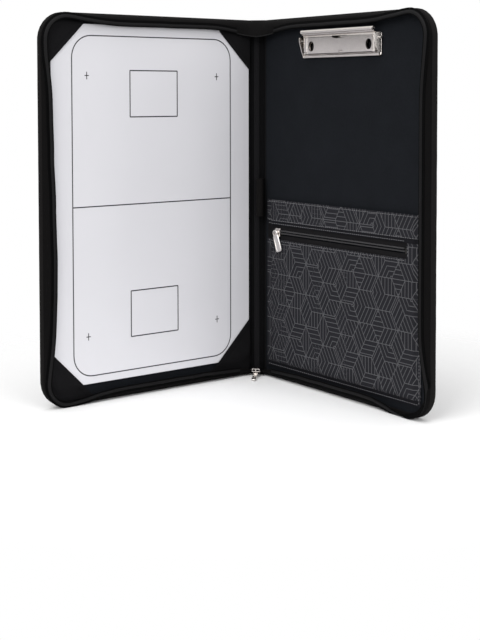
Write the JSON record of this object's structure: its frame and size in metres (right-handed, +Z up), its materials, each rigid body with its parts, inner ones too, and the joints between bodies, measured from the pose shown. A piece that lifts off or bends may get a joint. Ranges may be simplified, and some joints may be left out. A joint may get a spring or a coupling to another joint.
{
  "type": "tactics folder",
  "caption": "Zip-round A4 coaching folder standing open as a V, with a white tactics board, corner pockets, paper clip, zipped pocket and pen loop.",
  "frame": {"origin": "middle of the bounding box at floor level", "axes": "+Z up the spine, +X from the front cover to the back cover, +Y out through the back of the spine"},
  "size_m": [0.3462, 0.1764, 0.35],
  "materials": {
    "cover_cloth": "woven",
    "lining_cloth": "woven",
    "black_cloth": "woven",
    "binding_cloth": "ribbed weave",
    "zip_cloth": "woven",
    "zip_plastic": "satin",
    "greyboard": "matte",
    "foam": "matte",
    "white_board": "gloss",
    "pattern_cloth": "printed weave",
    "ribbon_cloth": "ribbed weave",
    "nickel": "polished",
    "spring_steel": "satin",
    "elastic": "ribbed weave",
    "badge_red": "woven",
    "label_white": "woven"
  },
  "bodies": {
    "spine": {"spine_shell": "cover_cloth", "spine_stiffener": "greyboard", "spine_foam": "foam", "spine_lining": "lining_cloth", "spine_binding_top": "binding_cloth", "spine_binding_bottom": "binding_cloth", "spine_zip_web_top": "zip_cloth", "spine_zip_web_bottom": "zip_cloth", "front_fold_seam": "black_cloth", "back_fold_seam": "black_cloth", "front_fold_cloth": "cover_cloth", "back_fold_cloth": "cover_cloth", "pen_loop": "elastic", "main_slider": "nickel"},
    "front_cover": {"front_shell": "cover_cloth", "front_stiffener": "greyboard", "front_foam": "foam", "front_lining": "lining_cloth", "front_binding": "binding_cloth", "front_zip_tape": "zip_cloth", "front_zip_teeth": "zip_plastic", "tactics_board": "white_board", "board_corner_top_fold": "black_cloth", "board_corner_top_rim": "black_cloth", "board_corner_bottom_fold": "black_cloth", "board_corner_bottom_rim": "black_cloth", "front_ribbon": "ribbon_cloth", "front_seam_strip": "cover_cloth", "front_badge": "badge_red", "front_name_label": "label_white"},
    "back_cover": {"back_shell": "cover_cloth", "back_stiffener": "greyboard", "back_foam": "foam", "back_lining": "lining_cloth", "back_binding": "binding_cloth", "back_zip_tape": "zip_cloth", "back_zip_teeth": "zip_plastic", "clip_base": "nickel", "clip_rivet_left": "nickel", "clip_rivet_right": "nickel", "clip_pin": "spring_steel", "clip_spring": "spring_steel", "pocket_band": "pattern_cloth", "pocket_panel": "pattern_cloth", "pocket_tape_upper": "zip_cloth", "pocket_tape_lower": "zip_cloth", "pocket_coil_upper": "zip_plastic", "pocket_coil_lower": "zip_plastic", "pocket_stop_fold": "nickel", "pocket_stop_rim": "nickel"},
    "clip_lever": {"clip_lever": "nickel"},
    "pocket_slider": {"pocket_slider": "nickel"},
    "pocket_pull": {"pocket_pull": "nickel"},
    "main_pull": {"main_pull": "nickel"}
  },
  "joints": [
    {"name": "front_cover_fold", "type": "hinge", "parent": "spine", "child": "front_cover", "pos_m": [-0.008, 0.08238, 0.175], "axis": [0, 0, -1], "range_deg": [-43.5, 46.5], "deforming": ["front_fold_cloth"]},
    {"name": "back_cover_fold", "type": "hinge", "parent": "spine", "child": "back_cover", "pos_m": [0.008, 0.08238, 0.175], "axis": [0, 0, 1], "range_deg": [-43.5, 46.5], "deforming": ["back_fold_cloth"]},
    {"name": "clip_lever_turn", "type": "hinge", "parent": "back_cover", "child": "clip_lever", "pos_m": [0.08703, -0.00599, 0.3268], "axis": [-0.6884, 0.7254, 0], "range_deg": [0, 25], "stiffness_Nm_per_rad": 0.05, "springref_deg": -28.65, "deforming": ["clip_spring"]},
    {"name": "pocket_slider_run", "type": "slide", "parent": "back_cover", "child": "pocket_slider", "axis": [0.6884, -0.7254, 0], "range_m": [0, 0.1756]},
    {"name": "pocket_pull_swing", "type": "hinge", "parent": "pocket_slider", "child": "pocket_pull", "pos_m": [0.01918, 0.06377, 0.1435], "axis": [-0.7254, -0.6884, 0], "range_deg": [-90, 8]},
    {"name": "main_pull_flip", "type": "hinge", "parent": "spine", "child": "main_pull", "pos_m": [0, 0.07023, 0.0044], "axis": [1, 0, 0], "range_deg": [-8, 75]}
  ]
}
